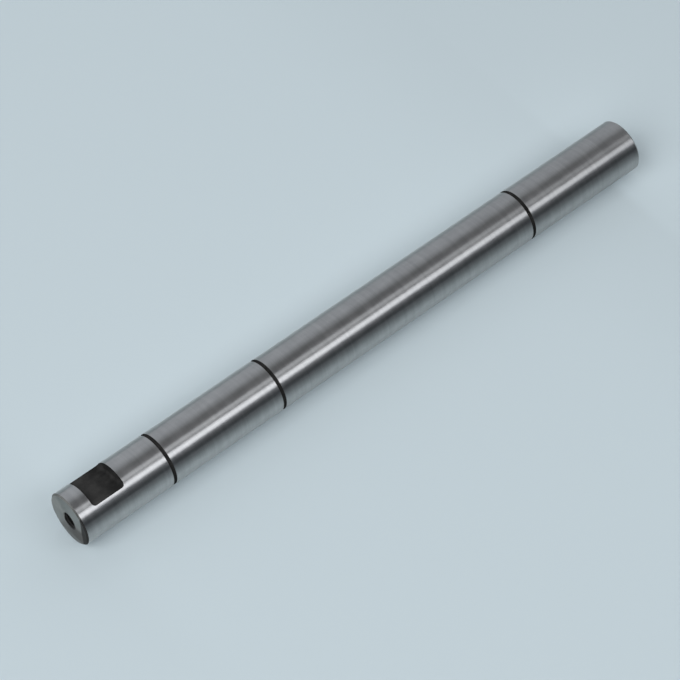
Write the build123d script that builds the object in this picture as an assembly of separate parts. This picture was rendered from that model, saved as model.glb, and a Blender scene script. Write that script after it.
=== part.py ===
from build123d import *
import math
import os

# Stepped steel shaft, turned from one bar, hardened and blackened, then ground on its four seats.
# Frame: the axis is +Z, the foot is the plain end at z = 0, and the top is the end that is tapped.
# The milled flat near the top faces +X. All sizes are in millimetres.

# Seats from the top down. Each is ground to its own size, so that what goes on from the foot
# slides past the lower seats before it reaches its own.
SEAT_DIAMETERS = (25.2, 25.1, 25.0, 25.0)
LENGTH = 314.1

# Grooves between the seats: the distance of each centre line from the top, and one section for all.
GROOVE_PLACES = (46.5, 106.2, 249.9)
GROOVE_WIDTH = 1.35
GROOVE_DEPTH = 0.55

# Edge chamfer at both ends, at 45 degrees.
END_CHAMFER = 0.7

# Milled flat: its two walls measured from the top, its floor from the axis, and the root radius
# that the cutter's corner leaves along both walls.
FLAT_START = 8.0
FLAT_END = 24.6
FLAT_HEIGHT = 7.5
FLAT_ROOT_RADIUS = 1.5

# Tapped hole in the top: core for an M8 thread, with a countersunk mouth and a drill point.
HOLE_CORE_DIAMETER = 6.8
HOLE_DEPTH = 22.0
HOLE_MOUTH_DIAMETER = 8.0
DRILL_POINT_ANGLE = 118.0


def half_outline():
    """Points (radius, z) of the turned blank's half section, from the foot's centre up to the top's centre."""
    radii = [diameter / 2 for diameter in reversed(SEAT_DIAMETERS)]
    grooves = [LENGTH - place for place in reversed(GROOVE_PLACES)]
    points = [(0, 0), (radii[0] - END_CHAMFER, 0), (radii[0], END_CHAMFER)]
    for lower, upper, centre in zip(radii, radii[1:], grooves):
        bottom = min(lower, upper) - GROOVE_DEPTH
        start, end = centre - GROOVE_WIDTH / 2, centre + GROOVE_WIDTH / 2
        points += [(lower, start), (bottom, start), (bottom, end), (upper, end)]
    top_radius = radii[-1]
    points += [(top_radius, LENGTH - END_CHAMFER), (top_radius - END_CHAMFER, LENGTH), (0, LENGTH)]
    return points


def turned(points):
    """Solid made by turning a closed outline of (radius, z) points round the Z axis."""
    with BuildSketch(Plane.XZ) as section:
        with BuildLine():
            Polyline(*points, close=True)
        make_face()
    return revolve(section.sketch, axis=Axis.Z)


def tapped_hole():
    """The space of the drilled and countersunk hole in the top, as one turned solid."""
    core, mouth = HOLE_CORE_DIAMETER / 2, HOLE_MOUTH_DIAMETER / 2
    bottom = LENGTH - HOLE_DEPTH
    tip = bottom - core / math.tan(math.radians(DRILL_POINT_ANGLE / 2))
    return turned([(0, tip), (core, bottom), (core, LENGTH - (mouth - core)), (mouth, LENGTH), (0, LENGTH)])


def flat_cut():
    """The block that milling takes away for the flat, rounded along its two root edges."""
    radius = max(SEAT_DIAMETERS) / 2
    span = FLAT_END - FLAT_START
    block = Pos(FLAT_HEIGHT, 0, LENGTH - FLAT_END) * Box(
        radius, 3 * radius, span, align=(Align.MIN, Align.CENTER, Align.MIN)
    )
    roots = block.faces().sort_by(Axis.X)[0].edges().filter_by(Axis.Y)
    return fillet(roots, FLAT_ROOT_RADIUS)


def shaft():
    """The whole shaft: the turned blank, less the tapped hole and the flat."""
    return turned(half_outline()) - tapped_hole() - flat_cut()


os.makedirs("parts", exist_ok=True)
export_step(shaft(), "parts/shaft.step")
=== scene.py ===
import math

import bpy
import numpy as np
from mathutils import Matrix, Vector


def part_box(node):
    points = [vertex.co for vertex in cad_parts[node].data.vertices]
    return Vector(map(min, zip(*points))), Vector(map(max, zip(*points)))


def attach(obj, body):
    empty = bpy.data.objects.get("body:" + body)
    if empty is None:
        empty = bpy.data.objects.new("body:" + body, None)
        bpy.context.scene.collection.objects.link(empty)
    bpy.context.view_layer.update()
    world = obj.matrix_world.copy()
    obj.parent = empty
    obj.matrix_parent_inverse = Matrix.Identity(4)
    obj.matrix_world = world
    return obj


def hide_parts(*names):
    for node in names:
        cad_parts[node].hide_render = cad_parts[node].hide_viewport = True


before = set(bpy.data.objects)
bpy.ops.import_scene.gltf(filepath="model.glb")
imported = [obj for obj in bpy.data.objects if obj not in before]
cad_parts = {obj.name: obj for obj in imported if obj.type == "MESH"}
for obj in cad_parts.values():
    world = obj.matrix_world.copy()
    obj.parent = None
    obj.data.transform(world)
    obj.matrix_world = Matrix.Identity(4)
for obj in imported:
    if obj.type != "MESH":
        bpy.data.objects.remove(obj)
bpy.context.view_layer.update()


# ---------------------------------------------------------------------------------------------
# The shaft. One steel bar, turned, grooved, tapped and milled, then blackened all over. Last, its
# four seats are ground bright and its ends are faced, so black stays where the wheel can't reach.
# ---------------------------------------------------------------------------------------------

# Sizes in millimetres, heights above the foot.
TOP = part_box("shaft")[1].z * 1000
SEAT_RADII = (12.5, 12.5, 12.55, 12.6)
GROOVE_HEIGHTS = (TOP - 249.9, TOP - 106.2, TOP - 46.5)
GROOVE_WIDTH = 1.35
GROOVE_DEPTH = 0.55
CHAMFER = 0.7
EDGE_BREAK = 0.08

FLAT_LOW, FLAT_HIGH = TOP - 24.6, TOP - 8.0
FLAT_X = 7.5
FLAT_ROOT = 1.5

CORE, MAJOR, PITCH = 3.4, 4.0, 1.25
THREAD_HALF_WIDTH, FLANK = 0.425, math.radians(60)
DRILL_HALF_ANGLE = math.radians(59)
THREAD_BOTTOM = TOP - 18.0
HOLE_BOTTOM = TOP - 22.0
DRILL_TIP = HOLE_BOTTOM - CORE / math.tan(DRILL_HALF_ANGLE)

# The mesh's material slots.
GROUND, BLACK, FACED, EDGE = 0, 1, 2, 3

# Columns round the shaft: evenly across the sector that the flat's walls take, and round the rest.
SECTOR_COLUMNS, REST_COLUMNS = 60, 180
seat = SEAT_RADII[-1]
wall_reach = math.sqrt(seat**2 - (FLAT_X + FLAT_ROOT) ** 2)
across = np.linspace(-wall_reach, wall_reach, SECTOR_COLUMNS + 1)
sector = np.arcsin(across / seat)
rest = np.linspace(sector[-1], 2 * math.pi - sector[-1], REST_COLUMNS + 1)
full_turn = np.concatenate([sector, rest[1:]])

surfaces = []


def lean_of(start, end):
    """Angle of the outward normal above the horizontal, for a profile run from (radius, height) to
    (radius, height) that has the outside on its right."""
    return math.atan2(start[0] - end[0], end[1] - start[1])


def turn(radii, heights, leans, finish, angles=full_turn):
    """Surface of revolution. The profile point (r, z) whose normal leans by a goes to (r cos t, r sin t, z)
    at every angle t, and its normal to (cos a cos t, cos a sin t, sin a)."""
    r, z, a = (np.asarray(v, float)[:, None] + 0 * angles for v in (radii, heights, leans))
    points = np.stack([r * np.cos(angles), r * np.sin(angles), z], -1)
    normals = np.stack([np.cos(a) * np.cos(angles), np.cos(a) * np.sin(angles), np.sin(a)], -1)
    surfaces.append((points, normals, finish))


def turn_profile(corners, finishes):
    """Turned surfaces of straight runs between (radius, height) corners. Each corner that stands out gets a
    quarter round of radius EDGE_BREAK, whose centre is that far inside both of its runs."""
    leans = [lean_of(start, end) for start, end in zip(corners, corners[1:])]
    trims = [0.0]
    for before, after, corner, finish in zip(leans, leans[1:], corners[1:], finishes[1:]):
        trim = EDGE_BREAK * math.tan((after - before) / 2) if after > before else 0.0
        trims.append(trim)
        if trim:
            middle, reach = (before + after) / 2, EDGE_BREAK / math.cos((after - before) / 2)
            steps = np.linspace(before, after, 5)
            turn(
                corner[0] - reach * math.cos(middle) + EDGE_BREAK * np.cos(steps),
                corner[1] - reach * math.sin(middle) + EDGE_BREAK * np.sin(steps),
                steps,
                finish,
            )
    trims.append(0.0)
    for start, end, lean, finish, first, last in zip(corners, corners[1:], leans, finishes, trims, trims[1:]):
        along = (-math.sin(lean), math.cos(lean))
        radii = (start[0] + first * along[0], end[0] - last * along[0])
        heights = (start[1] + first * along[1], end[1] - last * along[1])
        turn(radii, heights, (lean, lean), finish)


# Foot face, chamfer, and the seats up to the flat's lower wall, each pair of seats parted by a groove.
foot_radius = SEAT_RADII[0]
corners = [(0.0, 0.0), (foot_radius - CHAMFER, 0.0), (foot_radius, CHAMFER)]
finishes = [FACED, EDGE, GROUND]
for lower, upper, height in zip(SEAT_RADII, SEAT_RADII[1:], GROOVE_HEIGHTS):
    floor_radius = min(lower, upper) - GROOVE_DEPTH
    start, end = height - GROOVE_WIDTH / 2, height + GROOVE_WIDTH / 2
    corners += [(lower, start), (floor_radius, start), (floor_radius, end), (upper, end)]
    finishes += [BLACK, BLACK, BLACK, GROUND]
turn_profile(corners + [(seat, FLAT_LOW)], finishes)

# The collar above the flat, the top chamfer and the top face, in to the mouth of the hole.
turn_profile(
    [(seat, FLAT_HIGH), (seat, TOP - CHAMFER), (seat - CHAMFER, TOP), (MAJOR, TOP)],
    [GROUND, EDGE, FACED],
)


def flat():
    """The milled flat and the part of the seat behind it. Each row's floor stands at x = h. It is FLAT_X, and
    rises near both walls on a quarter round of radius FLAT_ROOT. The round part starts at arccos(h / r)."""
    swing = np.linspace(0, math.pi / 2, 9)
    rise = FLAT_ROOT * (1 - np.sin(swing))
    inset = FLAT_ROOT * (1 - np.cos(swing))
    height = np.concatenate([FLAT_LOW + inset, FLAT_HIGH - inset[::-1]])[:, None]
    floor = FLAT_X + np.concatenate([rise, rise[::-1]])[:, None]
    lean = np.concatenate([math.pi / 2 - swing, swing[::-1] - math.pi / 2])[:, None]
    reach = np.sqrt(seat**2 - floor**2)
    side = reach * across / wall_reach
    points = np.stack([floor + 0 * side, side, height + 0 * side], -1)
    normals = np.stack([np.cos(lean) + 0 * side, 0 * side, np.sin(lean) + 0 * side], -1)
    surfaces.append((points, normals, BLACK))

    edge = np.arccos(floor / seat)
    angles = edge + (2 * math.pi - 2 * edge) * np.linspace(0, 1, REST_COLUMNS + 1)
    behind = np.stack([seat * np.cos(angles), seat * np.sin(angles), height + 0 * angles], -1)
    surfaces.append((behind, behind * (1, 1, 0) / seat, GROUND))

    rim = np.stack([seat * np.cos(sector), across, 0 * across], -1)
    chord = np.stack([FLAT_X + FLAT_ROOT + 0 * across, across, 0 * across], -1)
    for rows, height, facing in (((rim, chord), FLAT_LOW, 1.0), ((chord, rim), FLAT_HIGH, -1.0)):
        wall = np.stack(rows) + (0, 0, height)
        surfaces.append((wall, 0 * wall + (0, 0, facing), BLACK))


flat()


def thread():
    """The tapped wall, from the mouth down. The radius at angle t and height z is the larger of the
    countersink's cone and a V groove, whose middle climbs one pitch a turn and fades out at the bottom."""
    rows = 8 * round((TOP - THREAD_BOTTOM) / PITCH)
    z = np.linspace(TOP, THREAD_BOTTOM, rows + 1)[:, None]
    from_middle = np.abs((z / PITCH - full_turn / (2 * math.pi)) % 1 - 0.5) * PITCH
    cut = (THREAD_HALF_WIDTH - from_middle) * math.tan(FLANK)
    cut = np.clip(cut, 0, MAJOR - CORE) * np.clip((z - THREAD_BOTTOM) / PITCH, 0, 1)
    radius = np.maximum(CORE + cut, MAJOR - (TOP - z))
    points = np.stack([radius * np.cos(full_turn), radius * np.sin(full_turn), z + 0 * radius], -1)
    surfaces.append((points, None, BLACK))


thread()
core_profile = [(CORE, THREAD_BOTTOM), (CORE, HOLE_BOTTOM), (0.0, DRILL_TIP)]
turn_profile(core_profile, [BLACK, BLACK])


def closed_mesh(name, surfaces):
    """One mesh of triangles from grids of points: points that meet become one, and every corner keeps the
    normal that was worked out for it. A grid with no normals is shaded flat."""
    grids, normals, slots, start = [], [], [], 0
    for points, shading, finish in surfaces:
        rows, columns = points.shape[:2]
        index = np.arange(rows * columns).reshape(rows, columns)
        a, b, c, d = (i.ravel() for i in (index[:-1, :-1], index[:-1, 1:], index[1:, 1:], index[1:, :-1]))
        faces = np.concatenate([np.stack([a, b, c], -1), np.stack([a, c, d], -1)])
        flat_points = points.reshape(-1, 3)
        if shading is None:
            p, q, r = (flat_points[faces[:, k]] for k in range(3))
            normals.append(np.repeat(np.cross(q - p, r - p)[:, None], 3, 1))
        else:
            normals.append(shading.reshape(-1, 3)[faces])
        grids.append((flat_points, faces + start))
        slots.append(np.full(len(faces), finish))
        start += len(flat_points)
    points = np.concatenate([g[0] for g in grids])
    faces = np.concatenate([g[1] for g in grids])
    normals, slots = np.concatenate(normals), np.concatenate(slots)
    merged, place = np.unique(np.round(points, 5), axis=0, return_inverse=True)
    faces = place.reshape(-1)[faces]
    whole = (faces[:, 0] != faces[:, 1]) & (faces[:, 1] != faces[:, 2]) & (faces[:, 2] != faces[:, 0])
    faces, normals, slots = faces[whole], normals[whole], slots[whole]
    mesh = bpy.data.meshes.new(name)
    mesh.from_pydata(merged * 0.001, [], faces)
    mesh.polygons.foreach_set("material_index", slots)
    mesh.polygons.foreach_set("use_smooth", np.ones(len(faces), bool))
    length = np.linalg.norm(normals, axis=-1, keepdims=True)
    mesh.normals_split_custom_set((normals / np.maximum(length, 1e-12)).reshape(-1, 3))
    made = bpy.data.objects.new(name, mesh)
    bpy.context.scene.collection.objects.link(made)
    return made


class Socket:
    """An output of a shader node. + - * / and ** on it add the Math nodes that work the result out."""

    def __init__(self, tree, source=None):
        self.tree, self.source = tree, source

    def node(self, kind, sockets=None, output=0, stops=None, **settings):
        """Adds a node, sets its settings, then its sockets by name or number, and returns one output."""
        made = self.tree.nodes.new("ShaderNode" + kind)
        for name, value in settings.items():
            setattr(made, name, value)
        if stops:
            ramp = made.color_ramp.elements
            while len(ramp) < len(stops):
                ramp.new(0.5)
            for element, (position, colour) in zip(ramp, stops):
                element.position, element.color = position, (*colour, 1)
        for name, value in (sockets or {}).items():
            if isinstance(value, Socket):
                self.tree.links.new(value.source, made.inputs[name])
            else:
                made.inputs[name].default_value = value
        return Socket(self.tree, made.outputs[output] if made.outputs else None)

    def math(self, operation, a, b=0.0):
        return self.node("Math", {0: a, 1: b}, operation=operation)

    def __add__(self, other):
        return self.math("ADD", self, other)

    def __sub__(self, other):
        return self.math("SUBTRACT", self, other)

    def __mul__(self, other):
        return self.math("MULTIPLY", self, other)

    def __truediv__(self, other):
        return self.math("DIVIDE", self, other)

    def __pow__(self, other):
        return self.math("POWER", self, other)

    def __rsub__(self, other):
        return self.math("SUBTRACT", other, self)

    def __rtruediv__(self, other):
        return self.math("DIVIDE", other, self)

    __radd__, __rmul__ = __add__, __mul__

    def step(self, low, high):
        """0 below low, 1 above high, and a smooth rise between them."""
        sockets = {"Value": self, "From Min": low, "From Max": high}
        return self.node("MapRange", sockets, interpolation_type="SMOOTHSTEP")

    def blend(self, first, second):
        """The first colour where this is 0, and the second where it is 1."""
        return self.node("Mix", {0: self, 6: first, 7: second}, output=2, data_type="RGBA")


def new_material(name):
    """An empty node material and a Socket to build its nodes with."""
    material = bpy.data.materials.new(name)
    material.use_nodes = True
    material.node_tree.nodes.clear()
    return material, Socket(material.node_tree)


def steel_noise(start, stretch, detail=3.0, roughness=0.6):
    """Noise whose grains are stretch millimetres long in x, y and z."""
    place = start.node("TexCoord", output="Object")
    scale = tuple(1000 / length for length in stretch)
    place = start.node("VectorMath", {0: place, 1: scale}, operation="MULTIPLY")
    return start.node("TexNoise", {"Vector": place, "Scale": 1.0, "Detail": detail, "Roughness": roughness})


def finish_material(start, material, height, bump, **sockets):
    """Principled surface with a bump of that many millimetres, and the sockets given."""
    raised = start.node("Bump", {"Height": height, "Strength": 1.0, "Distance": bump * 0.001})
    surface = start.node("BsdfPrincipled", {"Normal": raised, **sockets})
    start.node("OutputMaterial", {"Surface": surface})
    return material


def object_place(start):
    """x, y and z in millimetres."""
    place = start.node("TexCoord", output="Object")
    return [start.node("SeparateXYZ", {0: place}, output=axis) * 1000 for axis in "XYZ"]


def distance_towards(start, degrees):
    """Millimetres from the axis, measured in the direction that stands so many degrees round from +X."""
    x, y = object_place(start)[:2]
    turn_by = math.radians(degrees)
    return x * math.cos(turn_by) + y * math.sin(turn_by)


# The ground steel's two tones, and the dark edge beside each groove.
GROUND_DARK, GROUND_BRIGHT = (0.365, 0.375, 0.39, 1), (0.465, 0.475, 0.49, 1)
MISSED_EDGE = (0.02, 0.02, 0.02, 1)
EDGE_SHIFT, EDGE_REACH, EDGE_SOFT = 0.1, 0.88, 0.05


def ground_steel():
    """Bright steel with the wheel's marks: fine lines round the shaft, in passes of slightly other
    brightness. The seats stay dark beside each groove, up to EDGE_REACH from a line that runs EDGE_SHIFT
    below its middle."""
    material, start = new_material("ground_steel")
    z = object_place(start)[2]
    missed = 0.0
    for height in GROOVE_HEIGHTS:
        off_middle = ((z - (height - EDGE_SHIFT)) ** 2) ** 0.5
        missed = missed + (1 - off_middle.step(EDGE_REACH - EDGE_SOFT, EDGE_REACH + EDGE_SOFT))
    lines = steel_noise(start, (30, 30, 0.12))
    passes = steel_noise(start, (60, 60, 2.0))
    handling = steel_noise(start, (4, 4, 7), detail=4.0)
    tone = 0.34 * lines + 0.38 * passes + 0.28 * handling
    colour = tone.step(0.32, 0.68).blend(GROUND_DARK, GROUND_BRIGHT)
    return finish_material(
        start,
        material,
        lines,
        0.001,
        **{
            "Base Color": missed.blend(colour, MISSED_EDGE),
            "Metallic": 1 - missed,
            "Roughness": 0.25 + 0.06 * passes + 0.06 * handling,
            "Specular IOR Level": 0.25,
            "Anisotropic": 0.76,
            "Anisotropic Rotation": 0.25,
        },
    )


# The black oxide's tones, with painted shade on the flat; bright steel painted as a highlight on the
# countersink's lit part;
# and the circle round the hole's mouth inside which it stays black as painted shade.
BLACKEST, PALER_BLACK = (0.011, 0.011, 0.011, 1), (0.053, 0.052, 0.051, 1)
LIT_COUNTERSINK_STEEL = (0.33, 0.34, 0.33, 1)
HOLE_SHADE_MIDDLE, HOLE_SHADE_RADIUS = (-0.78, -0.04), 3.95


def black_oxide():
    """Blackened steel: a matt black oxide, slightly uneven, with painted shade on the flat, darker towards
    its lower wall and a little lighter at its upper end. The part of the countersink that lies away from
    HOLE_SHADE_MIDDLE is painted as bright bare steel, a painted highlight."""
    material, start = new_material("black_oxide")
    x, y, z = object_place(start)
    grain = steel_noise(start, (0.3, 0.3, 0.3))
    clouds = steel_noise(start, (5, 5, 5))
    # Painted shade on the flat: darker towards its lower wall, lighter towards its upper end.
    painted_light = z.step(FLAT_LOW + 2, FLAT_HIGH) * (1 - z.step(FLAT_HIGH + 0.5, FLAT_HIGH + 1.5))
    tone = 0.4 * clouds.step(0.3, 0.7) + 0.6 * painted_light
    black = tone.blend(BLACKEST, PALER_BLACK)
    # Painted highlight: the countersink outside a circle round HOLE_SHADE_MIDDLE is painted as bright bare
    # steel.
    away = ((x - HOLE_SHADE_MIDDLE[0]) ** 2 + (y - HOLE_SHADE_MIDDLE[1]) ** 2) ** 0.5
    bare = z.step(TOP - 0.62, TOP - 0.5) * away.step(HOLE_SHADE_RADIUS - 0.25, HOLE_SHADE_RADIUS + 0.1)
    return finish_material(
        start,
        material,
        grain,
        0.004,
        **{
            "Base Color": bare.blend(black, LIT_COUNTERSINK_STEEL),
            "Metallic": bare,
            "Roughness": 0.66 + 0.16 * clouds,
            "Specular IOR Level": 0.12,
        },
    )


# Marks on the tapped end, a dark band and a painted shade that stands for the table's reflected shadow:
# directions in degrees round from +X, and distances from the axis along them.
DARK_SIDE, DARK_REACH = -104, 8.6
SHADE_SIDE, SHADE_REACH = 170.9, 1.1
SHADE_FOOT_SIDE, SHADE_FOOT_REACH = -137.2, -2.8
SHADE_END, SHADE_FADE = 9.0, 0.5
SHADE_SOFT, FOOT_SOFT = 1.9, (1.5, 3.4)
REFLECTED_SHADE = (0.095, 0.092, 0.09, 1)
FACE_PATCH_BLACK = (0.013, 0.013, 0.013, 1)


def faced_steel(name, bright, dark):
    """Ends cut on the lathe: fine rings round the axis. At the tapped end the face is dark from DARK_REACH
    outwards on the
    DARK_SIDE, and black as painted shade beside the mouth of the hole, inside a circle round
    HOLE_SHADE_MIDDLE. A painted shade, the table's shadow as the face reflects it, lies where both the
    SHADE_SIDE and the SHADE_FOOT_SIDE are reached, and fades by SHADE_FADE beyond SHADE_END."""
    material, start = new_material(name)
    x, y, z = object_place(start)
    radius = (x * x + y * y) ** 0.5
    at_radius = start.node("CombineXYZ", {0: radius, 1: 0.0, 2: 0.0})
    rings = start.node("TexNoise", {"Vector": at_radius, "Scale": 6.0, "Detail": 4.0, "Roughness": 0.7})
    clouds = steel_noise(start, (2.5, 2.5, 2.5))
    tone = 0.5 * rings + 0.5 * clouds
    bare = tone.step(0.3, 0.7).blend(dark, bright)
    ragged = clouds - 0.5
    # Painted shade: the lower part of the face is darker and less metallic, standing for the table's shadow
    # that it reflects.
    sideways = distance_towards(start, SHADE_SIDE)
    reflected_shade = (sideways + 2.0 * ragged).step(SHADE_REACH - SHADE_SOFT, SHADE_REACH + SHADE_SOFT)
    lower = distance_towards(start, SHADE_FOOT_SIDE) + 2.0 * ragged
    reflected_shade = reflected_shade * lower.step(SHADE_FOOT_REACH - FOOT_SOFT[0], SHADE_FOOT_REACH + FOOT_SOFT[1])
    reflected_shade = reflected_shade * (1 - SHADE_FADE * sideways.step(SHADE_END - 0.9, SHADE_END + 0.9))
    # A dark band from DARK_REACH outwards on the DARK_SIDE, joined by the painted shade beside the hole.
    dark_patch = (distance_towards(start, DARK_SIDE) + 1.2 * ragged).step(DARK_REACH - 0.4, DARK_REACH + 0.4)
    # Painted shade: the face beside the mouth of the hole is black inside a circle round HOLE_SHADE_MIDDLE.
    away = ((x - HOLE_SHADE_MIDDLE[0]) ** 2 + (y - HOLE_SHADE_MIDDLE[1]) ** 2) ** 0.5
    dark_patch = start.math("MAXIMUM", dark_patch, 1 - away.step(HOLE_SHADE_RADIUS - 0.1, HOLE_SHADE_RADIUS + 0.3))
    tapped = z.step(TOP - 2, TOP - 1)
    dark_patch, reflected_shade = dark_patch * tapped, reflected_shade * tapped
    colour = dark_patch.blend(reflected_shade.blend(bare, REFLECTED_SHADE), FACE_PATCH_BLACK)
    return finish_material(
        start,
        material,
        rings,
        0.003,
        **{
            "Base Color": colour,
            "Metallic": (1 - dark_patch) * (1 - 0.35 * reflected_shade),
            "Roughness": 0.36 + 0.1 * clouds + 0.1 * dark_patch,
            "Specular IOR Level": 0.25,
            "Anisotropic": 0.8,
        },
    )


shaft = closed_mesh("turned_shaft", surfaces)
FACE_BRIGHT, FACE_DARK = (0.325, 0.333, 0.33, 1), (0.245, 0.253, 0.25, 1)
CHAMFER_BRIGHT, CHAMFER_DARK = (0.20, 0.205, 0.20, 1), (0.13, 0.135, 0.13, 1)
end_face = faced_steel("faced_steel", FACE_BRIGHT, FACE_DARK)
end_chamfer = faced_steel("chamfer_steel", CHAMFER_BRIGHT, CHAMFER_DARK)
for material in (ground_steel(), black_oxide(), end_face, end_chamfer):
    shaft.data.materials.append(material)
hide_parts("shaft")
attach(shaft, "root")


# ---------------------------------------------------------------------------------------------
# The table. A pale sheet that touches the seats along one line, as when the shaft lies on it.
# ---------------------------------------------------------------------------------------------

# Directions, as angles round the axis from +X: out to the camera, and straight up from the table.
CAMERA_SIDE = math.radians(-47.18)
TABLE_UP = CAMERA_SIDE + math.radians(29.62)
table_up = np.array([math.cos(TABLE_UP), math.sin(TABLE_UP), 0.0])
table_near = np.array([math.sin(TABLE_UP), -math.cos(TABLE_UP), 0.0])
TABLE_SIZE = 3.0
TABLE_COLOUR = (0.572, 0.663, 0.709, 1)
MIRRORED_COLOUR = (0.592, 0.668, 0.685, 1)
UNDERSIDE_GLOW = (0.34, 0.37, 0.39, 1)

# Metres, from here to the end of the section. How bright the steel shows the table: FIRST out to FROM, then
# falling as one over the distance towards LEAST, on the camera's side (DIM) and on the other side (FAR).
TAPPED_END = TOP * 0.001
DIM_FROM, DIM_FIRST, DIM_LEAST = 0.025, 1.2, 0.15
DIM_FOOT, DIM_RISE = 0.85, 0.5
FAR_FROM, FAR_FIRST, FAR_LEAST = 0.035, 1.1, 0.5
BEFORE_END, BEFORE_FROM, BEFORE_TO = 0.93, 0.28, 0.305
BEYOND_END, BEYOND_SOFT = 0.79, 0.01

# How bright the table is otherwise, and the light and shade painted on it: its brightness falls for each
# metre towards the camera's side and is lower near the foot, painted light lifts the shaft's shadow close to
# it, along it and at the foot, and a painted shadow darkens it close to the shaft at the tapped end.
PLAIN, PAINTED_FALL = 0.99, 0.17
FOOT_SHADE_LEVEL, FOOT_SHADE_ZONE = 0.957, 0.09
PAINTED_REACH, PAINTED_ALONG, PAINTED_FOOT, PAINTED_TAPPED = 0.018, 0.13, 0.19, -0.22
PAINTED_FOOT_FROM, PAINTED_FOOT_TO, PAINTED_TAPPED_FROM, PAINTED_TAPPED_TO = 0.007, 0.014, 0.295, 0.32


def table():
    """A flat square whose middle is the line of contact and whose normal is table_up."""
    middle = -table_up * seat * 0.001 + (0, 0, TAPPED_END / 2)
    sides = np.array([(-1, -1), (1, -1), (1, 1), (-1, 1)]) * TABLE_SIZE / 2
    points = [middle - table_near * u + np.array([0, 0, v]) for u, v in sides]
    mesh = bpy.data.meshes.new("table")
    mesh.from_pydata(points, [], [(0, 1, 2, 3)])
    made = bpy.data.objects.new("table", mesh)
    bpy.context.scene.collection.objects.link(made)
    return made


def table_material():
    """Pale matt sheet. From behind it is clear, so that it hides nothing when the view goes round. The steel
    shows it at another brightness than the camera does, and shows a plain glow in place of the dark strip
    under the shaft, which only views from behind can see."""
    material, start = new_material("pale_sheet")
    place = start.node("TexCoord", output="Object")
    away = start.node("VectorMath", {0: place, 1: tuple(table_near)}, operation="DOT_PRODUCT", output="Value")
    height = start.node("SeparateXYZ", {0: place}, output="Z")

    near = DIM_FROM / start.math("MAXIMUM", away, DIM_FROM)
    near = DIM_LEAST + (DIM_FIRST - DIM_LEAST) * near
    near = near * (1 - (1 - BEFORE_END) * height.step(BEFORE_FROM, BEFORE_TO))
    near = near * (height * DIM_RISE + DIM_FOOT)
    far = FAR_FROM / start.math("MAXIMUM", 0 - away, FAR_FROM)
    far = FAR_LEAST + (FAR_FIRST - FAR_LEAST) * far
    side = away.step(-0.01, 0.01)
    shown = side * near + (1 - side) * far
    shown = shown * (1 - (1 - BEYOND_END) * height.step(TAPPED_END, TAPPED_END + BEYOND_SOFT))

    # Painted light on the sheet close to the shaft, lifting its shadow, and a painted shadow there at the
    # tapped end.
    beyond = start.math("MAXIMUM", height - TAPPED_END, 0 - height)
    beyond = start.math("MAXIMUM", beyond, 0.0)
    fall = 1 / (1 + (away * away + beyond * beyond) / PAINTED_REACH**2)
    at_foot = 1 - height.step(PAINTED_FOOT_FROM, PAINTED_FOOT_TO)
    at_tapped = height.step(PAINTED_TAPPED_FROM, PAINTED_TAPPED_TO)
    painted_light = PAINTED_ALONG + PAINTED_FOOT * at_foot + PAINTED_TAPPED * at_tapped
    # Painted shade: the sheet is darker near the foot, and its brightness falls towards the camera's side.
    level = FOOT_SHADE_LEVEL + (1 - FOOT_SHADE_LEVEL) * height.step(0.0, FOOT_SHADE_ZONE)
    plain = (PLAIN - PAINTED_FALL * away) * level + painted_light * fall

    mirrored = start.node("LightPath", output="Is Glossy Ray")
    strength = mirrored * shown + (1 - mirrored) * plain
    colour = mirrored.blend(TABLE_COLOUR, MIRRORED_COLOUR)
    colour = start.node("VectorMath", {0: colour, "Scale": strength}, operation="SCALE")
    sheet = start.node("BsdfDiffuse", {"Color": colour})
    under = away.step(-0.012, -0.01) * (1 - away.step(0.006, 0.0105))
    under = under * height.step(-0.002, 0.0) * (1 - height.step(TAPPED_END, TAPPED_END + 0.002))
    glow = start.node("Emission", {"Color": UNDERSIDE_GLOW, "Strength": 1.0})
    sheet = start.node("MixShader", {0: mirrored * under, 1: sheet, 2: glow})
    behind = start.node("NewGeometry", output="Backfacing")
    clear = start.node("BsdfTransparent", {"Color": (1, 1, 1, 1)})
    start.node("OutputMaterial", {"Surface": start.node("MixShader", {0: behind, 1: sheet, 2: clear})})
    return material


sheet = table()
sheet.data.materials.append(table_material())


# ---------------------------------------------------------------------------------------------
# Light. Two long softboxes that draw the two highlights, a wide one towards each end of the shaft, and
# a room of plain grey tones.
# ---------------------------------------------------------------------------------------------

def matrix_turn(axes):
    """The quaternion of a turn that takes x, y and z to the columns given."""
    return Matrix(axes.tolist()).to_quaternion()


def softbox(name, from_up, lean, distance, width_angle, length, along, radiance):
    """A softbox that lights the shaft from a distance. It stands from_up degrees from straight up, towards
    the camera's side, or away from it if negative, and leans by so many degrees towards the tapped end. It
    fills width_angle as seen from the shaft. Its power is four times its area times its radiance."""
    angle, lean = TABLE_UP - math.radians(from_up), math.radians(lean)
    outward = np.array([math.cos(angle), math.sin(angle), 0.0])
    side = np.cross((0, 0, 1.0), outward)
    back = outward * math.cos(lean) + np.array([0, 0, math.sin(lean)])
    width = 2 * distance * math.tan(math.radians(width_angle / 2))
    data = bpy.data.lights.new(name, "AREA")
    data.shape, data.size, data.size_y = "RECTANGLE", width, length
    data.energy = 4 * width * length * radiance
    made = bpy.data.objects.new(name, data)
    made.location = back * distance + np.array([0, 0, along])
    made.rotation_mode = "QUATERNION"
    made.rotation_quaternion = matrix_turn(np.stack([side, np.cross(back, side), back], 1))
    made.visible_camera = False
    bpy.context.scene.collection.objects.link(made)


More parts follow.
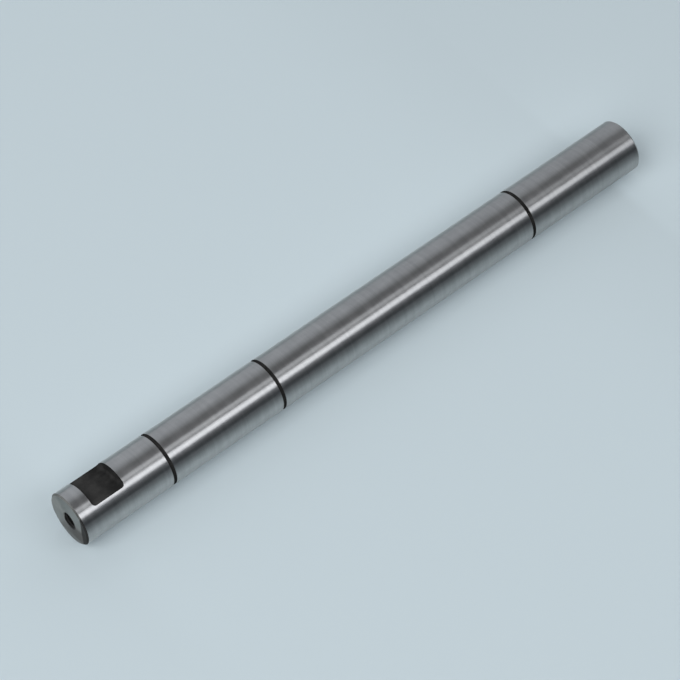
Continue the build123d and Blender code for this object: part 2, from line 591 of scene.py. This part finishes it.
softbox("main_softbox", 42.5, 0, 1.3, 19.0, 1.1, -0.1, 1.8)
softbox("second_softbox", 18.3, 0, 1.3, 14.8, 0.9, -0.05, 0.84)
softbox("head_softbox", 14, 46, 3.2, 50, 2.4, 0.1, 2.85)
softbox("foot_softbox", -15, -60, 1.8, 40, 1.1, 0.2, 0.3)


ROOM_MIDDLE, ROOM_RISE, ROOM_LEAST, ROOM_MOST = 1.49, 1.25, 0.4, 1.7
BACKDROP_COLOUR = (0.58, 0.67, 0.72, 1)


def room():
    """World light. Its tone goes by the angle round the shaft's axis from straight up, positive towards the
    camera's side, and its strength rises from the foot's side of the room to the tapped end's."""
    world = bpy.data.worlds.new("room")
    world.use_nodes = True
    world.node_tree.nodes.clear()
    bpy.context.scene.world = world
    start = Socket(world.node_tree)
    direction = start.node("TexCoord", output="Generated")
    up, near = (
        start.node("VectorMath", {0: direction, 1: tuple(axis)}, operation="DOT_PRODUCT", output="Value")
        for axis in (table_up, table_near)
    )
    angle = start.math("ARCTAN2", near, up) * math.degrees(1)
    tone = start.node(
        "ValToRGB",
        {0: angle / 360 + 0.5},
        stops=[
            (0.24, (0.76, 0.78, 0.80)),
            (0.26, (0.515, 0.53, 0.545)),
            (0.37, (0.535, 0.55, 0.565)),
            (0.40, (0.45, 0.46, 0.47)),
            (0.43, (0.30, 0.31, 0.31)),
            (0.455, (0.115, 0.115, 0.115)),
            (0.50, (0.075, 0.075, 0.075)),
            (0.60, (0.04, 0.04, 0.04)),
            (0.645, (0.19, 0.20, 0.21)),
            (0.71, (0.045, 0.05, 0.055)),
            (0.74, (0.045, 0.05, 0.055)),
            (0.76, (0.60, 0.62, 0.64)),
        ],
    )
    height = start.node("SeparateXYZ", {0: direction}, output="Z")
    strength = start.node("Clamp", {0: ROOM_MIDDLE + height * ROOM_RISE, 1: ROOM_LEAST, 2: ROOM_MOST})
    seen = start.node("LightPath", output="Is Camera Ray")
    strength = seen + (1 - seen) * strength
    colour = seen.blend(tone, BACKDROP_COLOUR)
    start.node("OutputWorld", {"Surface": start.node("Background", {"Color": colour, "Strength": strength})})


room()


# ---------------------------------------------------------------------------------------------
# Camera. A long lens, turned so that the shaft runs up to the right from its tapped end.
# ---------------------------------------------------------------------------------------------

LENS = 169.12
CAMERA_RADIUS = 1.2740
CAMERA_HEIGHT = TAPPED_END + 0.3870
AIM_HEIGHT = 0.16784
AIM_ASIDE = 0.00157
ROLL = math.radians(124.264)


def camera():
    """Looks from beyond the tapped end at a point just beside the axis, with its right-hand side turned
    by ROLL from level."""
    out = np.array([math.cos(CAMERA_SIDE), math.sin(CAMERA_SIDE), 0.0])
    aside = np.array([-out[1], out[0], 0.0])
    place = out * CAMERA_RADIUS + np.array([0, 0, CAMERA_HEIGHT])
    aim = -aside * AIM_ASIDE + np.array([0, 0, AIM_HEIGHT])
    back = (place - aim) / np.linalg.norm(place - aim)
    level = np.cross((0, 0, 1.0), back)
    level /= np.linalg.norm(level)
    rise = np.cross(back, level)
    right = math.cos(ROLL) * level - math.sin(ROLL) * rise
    upward = np.cross(back, right)
    data = bpy.data.cameras.new("camera")
    data.lens = LENS
    data.clip_start, data.clip_end = 0.05, 20
    made = bpy.data.objects.new("camera", data)
    made.location = place
    made.rotation_mode = "QUATERNION"
    made.rotation_quaternion = matrix_turn(np.stack([right, upward, back], 1))
    bpy.context.scene.collection.objects.link(made)
    bpy.context.scene.camera = made


camera()
bpy.context.scene.view_settings.view_transform = "Standard"
